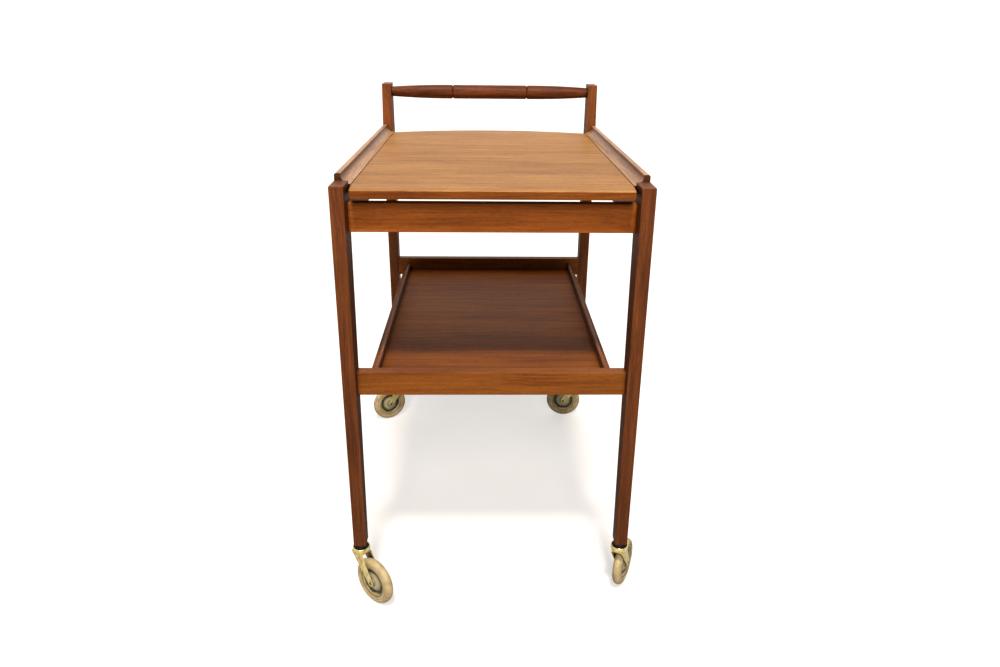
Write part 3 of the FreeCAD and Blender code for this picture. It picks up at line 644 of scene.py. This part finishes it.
axle_radius = 2.5 * MM
axle_half = 10.9 * MM
dome_height = 0.6 * MM
dome_flat = 0.6 * MM
dome = []
for step in range(dome_steps + 1):
    angle = math.pi / 2 * step / dome_steps
    dome.append((axle_half - dome_height + dome_height * math.sin(angle),
                 dome_flat + (axle_radius - dome_flat) * math.cos(angle)))
pin = turn("riveted_axle", [(-place, radius) for place, radius in reversed(dome)] + dome,
           (0, 1, 0), segments=32)
pin.data.transform(Matrix.Translation(axle))
soften(pin, 0.05 * MM)
pin.data.materials.append(plated_steel("greasy rivet steel", "#5d5648", 0.5, 2 * MM))
fit_casters(pin, "axle", "fork")

# ---- Wheel discs ------------------------------------------------------------------------
# Two dished steel pressings back to back, painted grey-green. The dish falls away in a
# curve from the hub to a deep ring inside the rim, painted dark there as shade.

disc_radius = 24.4 * MM
rim_half = 5.5 * MM
rim_inner = 22.9 * MM
ring_half = 2.5 * MM
crown_radius = 9.7 * MM
crown_half = 5.5 * MM
hub_radius = 6.5 * MM
hub_half = 7.9 * MM
hub_bore = 2.6 * MM
ring_radius = 20.4 * MM
dish_steps = 8
side = [(rim_half, disc_radius), (rim_half, rim_inner)]
for step in range(dish_steps + 1):
    share = step / dish_steps
    wave = (1 - math.cos(math.pi * share)) / 2
    side.append((ring_half + (crown_half - ring_half) * wave,
                 ring_radius + (crown_radius - ring_radius) * share))
side += [(crown_half, hub_radius), (hub_half, hub_radius), (hub_half, hub_bore)]
disc_profile = side + [(-place, radius) for place, radius in reversed(side)] + side[:1]
disc = turn("dished_disc", disc_profile, (0, 1, 0), segments=72, closed=True)
soften(disc, 0.3 * MM)


def mark_radius(piece):
    """Stores each point's distance from the axle's line, for painted shade and tints that follow
    the wheel.
    """
    marks = piece.data.attributes.new("from_axle", "FLOAT", "POINT")
    for mark, point in zip(marks.data, piece.data.vertices):
        mark.value = math.hypot(point.co.x, point.co.z)


mark_radius(disc)
disc.data.transform(Matrix.Translation(axle))
paint, tree, shader = new_material("grey-green machine paint")
mottle, ragged, paint_gloss, grime_dulling = 14 * MM, 0.25, 0.25, 0.3
place = add_node(tree, "ShaderNodeTexCoord")
paint_mottle = add_node(tree, "ShaderNodeTexNoise",
                 {"Vector": place.outputs["Object"], "Scale": 1 / mottle, "Detail": 3.0})
radius = add_node(tree, "ShaderNodeAttribute", attribute_name="from_axle")
ring = add_node(tree, "ShaderNodeMath", {0: radius.outputs["Fac"], 1: ring_radius},
                operation="DIVIDE")
ring = add_node(tree, "ShaderNodeMath",
                {0: paint_mottle.outputs[0], 1: -ragged, 2: ring.outputs[0]},
                operation="MULTIPLY_ADD")
# The dark band inside the rim is painted shade of the deep ring; the mottle makes its edges
# ragged
colour = add_node(tree, "ShaderNodeValToRGB", {0: ring.outputs[0]},
                  stops=[(0.20, linear("#756d4c")), (0.34, linear("#a1987a")),
                         (0.54, linear("#8e8562")), (0.74, linear("#2e2715")),
                         (0.90, linear("#352c18")), (0.98, linear("#93875c"))])
dull = add_node(tree, "ShaderNodeMath",
                {0: paint_mottle.outputs[0], 1: grime_dulling, 2: paint_gloss},
                operation="MULTIPLY_ADD")
tree.links.new(colour.outputs[0], shader.inputs["Base Color"])
tree.links.new(dull.outputs[0], shader.inputs["Roughness"])
shader.inputs["Metallic"].default_value = 0.1
disc.data.materials.append(paint)
fit_casters(disc, "wheel_disc", "wheel")

# ---- Tyres ------------------------------------------------------------------------------
# Solid moulded rubber, once white and now the colour of old ivory. The tread is rounded,
# a moulded step runs round each side, and a thin lip seats against the disc. The tread is
# worn by a hair, so its fine facets stay in the box of the coarser CAD tyre.

tyre_half = 6.94 * MM
tread_wear = 0.07 * MM
tread_radius = wheel_radius - tread_wear
tyre_seat = 24.45 * MM
shoulder = 33.4 * MM
step_radius = 29.6 * MM
step_depth = 0.55 * MM
step_groove = 1.6 * step_depth
step_foot, step_crest = 0.5 * MM, 0.7 * MM
seat_lip = 0.8 * MM
tread_steps = 14
rise = tread_radius - shoulder
tread_arc = (tyre_half ** 2 + rise ** 2) / (2 * rise)
tread = []
for step in range(tread_steps + 1):
    across = tyre_half * (1 - 2 * step / tread_steps)
    tread.append((across, tread_radius - tread_arc + math.sqrt(tread_arc ** 2 - across ** 2)))
flank = [(tyre_half - seat_lip, tyre_seat), (tyre_half - step_depth, tyre_seat + seat_lip),
         (tyre_half - step_depth, step_radius - step_foot),
         (tyre_half - step_groove, step_radius),
         (tyre_half, step_radius + step_crest)]
other_flank = [(-place, radius) for place, radius in reversed(flank)]
tyre = turn("rubber_tyre", flank + tread + other_flank + flank[:1], (0, 1, 0), segments=96,
            closed=True)
soften(tyre, 0.35 * MM, limit=25)
mark_radius(tyre)
tyre.data.transform(Matrix.Translation(axle))
rubber, tree, shader = new_material("yellowed moulded rubber")
stain_size, grit_size, grit_depth = 16 * MM, 0.6 * MM, 0.05 * MM
place = add_node(tree, "ShaderNodeTexCoord")
stains = add_node(tree, "ShaderNodeTexNoise",
                  {"Vector": place.outputs["Object"], "Scale": 1 / stain_size, "Detail": 5.0,
                   "Roughness": 0.6})
grit = add_node(tree, "ShaderNodeTexNoise",
                {"Vector": place.outputs["Object"], "Scale": 1 / grit_size})
colour = add_node(tree, "ShaderNodeValToRGB", {0: stains.outputs[0]},
                  stops=[(0.30, linear("#836e48")), (0.50, linear("#a4926a")),
                         (0.70, linear("#b0a27e"))])
# Painted shade darkens the seat against the disc and the moulded step, and the tread is a touch
# darker where its shoulder turns into the crown
radius = add_node(tree, "ShaderNodeAttribute", attribute_name="from_axle")
share = add_node(tree, "ShaderNodeMath", {0: radius.outputs["Fac"], 1: wheel_radius},
                 operation="DIVIDE")
painted_shade = add_node(tree, "ShaderNodeValToRGB", {0: share.outputs[0]},
                  stops=[(0.64, linear("#8f7f66")), (0.68, linear("#f4efe6")),
                         (0.755, linear("#ffffff")), (0.772, linear("#b79d78")),
                         (0.79, linear("#ffffff")), (0.93, linear("#f4ead8")),
                         (1.0, linear("#ffffff"))])
colour = add_node(tree, "ShaderNodeVectorMath",
                  {0: colour.outputs[0], 1: painted_shade.outputs[0]}, operation="MULTIPLY")
bump = add_node(tree, "ShaderNodeBump", {"Height": grit.outputs[0], "Strength": 0.3,
                                         "Distance": grit_depth})
tree.links.new(colour.outputs[0], shader.inputs["Base Color"])
tree.links.new(bump.outputs[0], shader.inputs["Normal"])
shader.inputs["Roughness"].default_value = 0.6
shader.inputs["IOR"].default_value = 1.5
tyre.data.materials.append(rubber)
fit_casters(tyre, "tyre", "wheel")

# ---- Floor, light and camera ------------------------------------------------------------
# A white studio sweep under a white sky, with one lamp high in front of the cart and a
# wider, softer one low in front of it.

floor_size = 60.0
bpy.ops.object.select_all(action="DESELECT")
bpy.ops.mesh.primitive_plane_add(size=floor_size, location=(0, 0, 0))
floor = bpy.context.object
floor.name = "studio_floor"
# Matt white paint, with scuffs so faint that they only keep it from being one flat tone
scuffs_per_metre = 6.0
floor_glow = 0.52
white_paint, tree, shader = new_material("white floor paint")
place = add_node(tree, "ShaderNodeTexCoord")
scuffs = add_node(tree, "ShaderNodeTexNoise",
                  {"Vector": place.outputs["Object"], "Scale": scuffs_per_metre,
                   "Detail": 5.0})
colour = add_node(tree, "ShaderNodeValToRGB", {0: scuffs.outputs[0]},
                  stops=[(0.3, linear("#efe8e0")), (0.6, linear("#f3eee8"))])
shader.inputs["Roughness"].default_value = 0.7
# The floor is white to the camera but bounces light as a mid grey, and to the camera it also
# glows a little, which lifts its shadows
seen = add_node(tree, "ShaderNodeLightPath")
colour = add_node(tree, "ShaderNodeMix",
                  {0: seen.outputs["Is Camera Ray"], 6: linear("#8f8e8c"),
                   7: colour.outputs[0]}, data_type="RGBA")
tree.links.new(colour.outputs[2], shader.inputs["Base Color"])
share = add_node(tree, "ShaderNodeMath",
                 {0: seen.outputs["Is Camera Ray"], 1: floor_glow}, operation="MULTIPLY")
glow = add_node(tree, "ShaderNodeEmission", {"Color": linear("#fffefc")})
lifted = add_node(tree, "ShaderNodeMixShader",
                  {0: share.outputs[0], 1: shader.outputs[0], 2: glow.outputs[0]})
tree.links.new(lifted.outputs[0], tree.nodes["Material Output"].inputs["Surface"])
floor.data.materials.append(white_paint)

sky = bpy.data.worlds.new("white studio")
sky.use_nodes = True
bpy.context.scene.world = sky
tree = sky.node_tree
backdrop, front_fill, back_fill = 1.12, 0.25, 1.6
fill_start, fill_end = 0.2, 0.95
place = add_node(tree, "ShaderNodeTexCoord")
towards = add_node(tree, "ShaderNodeSeparateXYZ", {0: place.outputs["Generated"]})
fill = add_node(tree, "ShaderNodeMapRange",
                {0: towards.outputs["Y"], 1: fill_start, 2: fill_end, 3: front_fill,
                 4: back_fill})
seen = add_node(tree, "ShaderNodeLightPath")
strength = add_node(tree, "ShaderNodeMix",
                    {0: seen.outputs["Is Camera Ray"], 2: fill.outputs[0], 3: backdrop})
tree.nodes["Background"].inputs["Color"].default_value = linear("#fffbf6")
tree.links.new(strength.outputs[0], tree.nodes["Background"].inputs["Strength"])


def hang_lamp(name, elevation, width, strength, colour):
    """A far lamp in front of the cart, at an angle above the floor. Its width in the sky,
    in degrees like its elevation, sets how soft its shadows are."""
    lamp = bpy.data.lights.new(name, "SUN")
    lamp.angle = math.radians(width)
    lamp.energy = strength
    lamp.color = linear(colour)[:3]
    holder = bpy.data.objects.new(name, lamp)
    bpy.context.scene.collection.objects.link(holder)
    rise = math.radians(elevation)
    towards = Vector((0, -math.cos(rise), math.sin(rise)))
    holder.rotation_euler = towards.to_track_quat("Z", "Y").to_euler()


hang_lamp("overhead lamp", elevation=61, width=8, strength=4.1, colour="#fff9f2")
hang_lamp("front lamp", elevation=34, width=20, strength=2.35, colour="#fffaf4")

camera_data = bpy.data.cameras.new("camera")
camera_data.sensor_width = 36
camera_data.lens = 27.83
camera = bpy.data.objects.new("camera", camera_data)
bpy.context.scene.collection.objects.link(camera)
camera_place = Vector((-0.0007, -1.3097, 0.8586))
camera_tilt, camera_turn, camera_roll = math.radians(21.72), math.radians(1.39), math.radians(0.6)
camera.matrix_world = (Matrix.Translation(camera_place)
                       @ Matrix.Rotation(-camera_turn, 4, "Z")
                       @ Matrix.Rotation(math.pi / 2 - camera_tilt, 4, "X")
                       @ Matrix.Rotation(camera_roll, 4, "Z"))
bpy.context.scene.camera = camera
bpy.context.scene.view_settings.view_transform = "Standard"
